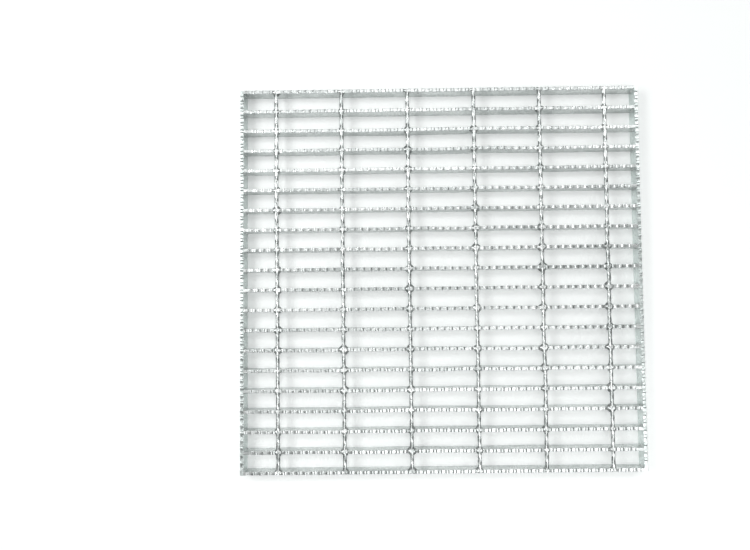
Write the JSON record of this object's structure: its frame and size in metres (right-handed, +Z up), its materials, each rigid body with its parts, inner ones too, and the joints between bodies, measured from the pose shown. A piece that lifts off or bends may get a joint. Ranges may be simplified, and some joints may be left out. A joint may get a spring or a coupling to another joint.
{
  "type": "steel grating panel",
  "caption": "Rectangular galvanised steel bar grating with serrated bearing bars on edge, twisted cross rods welded through them and a band bar across each end.",
  "frame": {"origin": "middle of the panel in plan, on the undersides of the bars that it rests on", "axes": "+X along the bearing bars, +Y across them, +Z up out of the serrated walking side"},
  "size_m": [0.6, 0.575, 0.025],
  "materials": {
    "bar_and_rod_zinc": "bright hot-dip galvanised, satin, faint spangle",
    "end_band_zinc": "bright hot-dip galvanised, satin, faint spangle"
  },
  "bodies": {
    "root": {"bar_and_rod_mesh": "bar_and_rod_zinc", "left_end_band": "end_band_zinc", "right_end_band": "end_band_zinc"}
  },
  "joints": []
}
